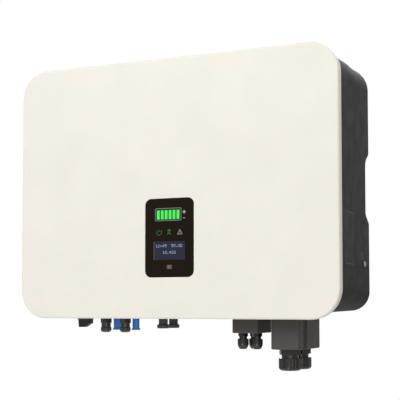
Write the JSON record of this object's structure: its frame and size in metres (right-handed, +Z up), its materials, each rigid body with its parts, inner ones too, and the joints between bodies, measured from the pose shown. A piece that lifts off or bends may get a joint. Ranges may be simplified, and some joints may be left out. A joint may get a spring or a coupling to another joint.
{
  "type": "string inverter",
  "caption": "Wall-hung solar string inverter with a pale front cover, a black status display, a dark finned housing, hand grips, and cable glands, sockets and a rotary switch below.",
  "frame": {"origin": "centre of the wall bracket's four bolt holes, on the wall plane", "axes": "+X to the right seen from the front, +Y into the wall, +Z up"},
  "size_m": [0.545, 0.19, 0.485],
  "materials": {
    "cover_white": "satin powder coat",
    "housing_grey": "fine-textured powder coat",
    "box_grey": "satin powder coat",
    "gasket_rubber": "matt",
    "screw_steel": "zinc plated",
    "bracket_steel": "galvanised",
    "sink_aluminium": "extruded, natural",
    "plate_aluminium": "black anodised, blank",
    "lens_black": "polished",
    "frame_black": "moulded",
    "oled_glass": "polished",
    "light_green": "translucent light guide",
    "key_grey": "moulded",
    "board_green": "solder mask",
    "part_black": "moulded",
    "knob_black": "moulded",
    "connector_black": "moulded",
    "connector_blue": "moulded",
    "port_grey": "moulded",
    "gland_black": "moulded nylon",
    "nut_brass": "nickel plated",
    "module_white": "smooth",
    "pad_grey": "matt",
    "capacitor_blue": "sleeved",
    "relay_white": "moulded",
    "inductor_black": "potted",
    "terminal_green": "moulded",
    "ribbon_grey": "flat cable"
  },
  "bodies": {
    "unit": {"front_cover": "cover_white", "cover_gasket": "gasket_rubber", "cover_screws": "screw_steel", "main_housing": "housing_grey", "rating_plate": "plate_aluminium", "ground_washer": "screw_steel", "ground_screw": "screw_steel", "heat_sink": "sink_aluminium", "hanger_plate": "bracket_steel", "hanger_screws": "screw_steel", "wall_bracket": "bracket_steel", "lock_screws": "screw_steel", "display_lens": "lens_black", "display_frame": "frame_black", "oled_module": "oled_glass", "battery_bars": "light_green", "status_light_guides": "light_green", "menu_switch": "part_black", "display_board": "board_green", "display_screws": "screw_steel", "dc_switch_plate": "part_black", "dc_switch_seal": "gasket_rubber", "dc_switch_body": "part_black", "pv_plus_sockets": "connector_black", "pv_minus_sockets": "connector_black", "pv_plus_caps": "connector_black", "pv_minus_caps": "connector_blue", "comm_ports": "port_grey", "comm_port_caps": "connector_black", "socket_locknuts": "nut_brass", "vent_valve": "part_black", "ac_box": "box_grey", "comm_box": "box_grey", "box_gaskets": "gasket_rubber", "box_screws": "screw_steel", "ac_gland_bodies": "gland_black", "ac_gland_nuts": "gland_black", "ac_gland_seals": "gasket_rubber", "comm_gland_bodies": "gland_black", "comm_gland_nuts": "gland_black", "comm_gland_seals": "gasket_rubber", "gland_locknuts": "nut_brass", "thermal_pads": "pad_grey", "power_modules": "module_white", "board_standoffs": "nut_brass", "power_board": "board_green", "dc_link_capacitors": "capacitor_blue", "power_relays": "relay_white", "boost_inductors": "inductor_black", "filter_inductors": "inductor_black", "control_board": "board_green", "ac_terminal_block": "terminal_green", "comm_terminal_block": "terminal_green", "ribbon_cable": "ribbon_grey", "fan_frame": "part_black"},
    "dc_switch": {"dc_switch_knob": "knob_black", "dc_switch_shaft": "screw_steel"},
    "menu_button": {"menu_key": "key_grey"},
    "circulation_fan": {"fan_rotor": "part_black"}
  },
  "joints": [
    {"name": "dc_switch_turn", "type": "hinge", "parent": "unit", "child": "dc_switch", "pos_m": [-0.1885, -0.124, -0.25], "axis": [0, 0, 1], "range_deg": [0, 90]},
    {"name": "menu_key_press", "type": "slide", "parent": "unit", "child": "menu_button", "axis": [0, 1, 0], "range_m": [0, 0.0008], "stiffness_N_per_m": 400, "springref_m": -0.0005},
    {"name": "fan_spin", "type": "hinge", "parent": "unit", "child": "circulation_fan", "pos_m": [0, -0.122, 0.12], "axis": [0, 0, 1], "continuous": true}
  ]
}
